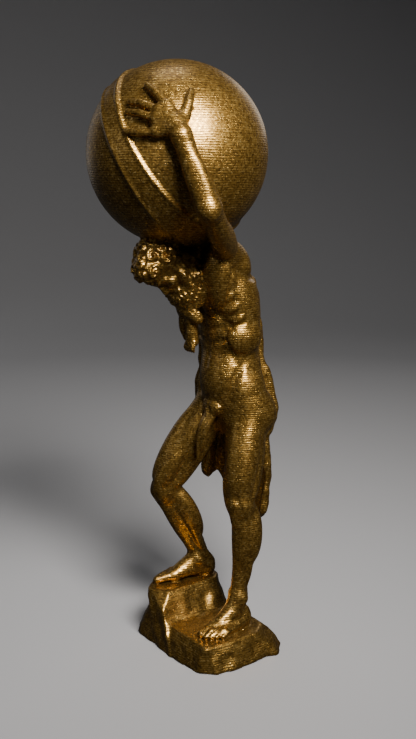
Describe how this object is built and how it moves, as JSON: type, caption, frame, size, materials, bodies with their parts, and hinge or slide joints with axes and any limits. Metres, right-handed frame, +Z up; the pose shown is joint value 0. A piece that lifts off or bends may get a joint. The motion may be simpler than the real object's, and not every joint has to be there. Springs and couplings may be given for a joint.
{
  "type": "atlas statuette",
  "caption": "Small printed statuette of a bearded man who bears a belted globe on his nape and hands, one foot on a rock.",
  "frame": {"origin": "centre of the rock base's flat underside", "axes": "+Z up, the figure faces -Y, and its left hand is towards +X"},
  "size_m": [0.0936, 0.0861, 0.2605],
  "materials": {
    "gold_print": "silk metallic gold-bronze filament with fine layer lines"
  },
  "bodies": {
    "root": {"statuette": "gold_print"}
  },
  "joints": []
}
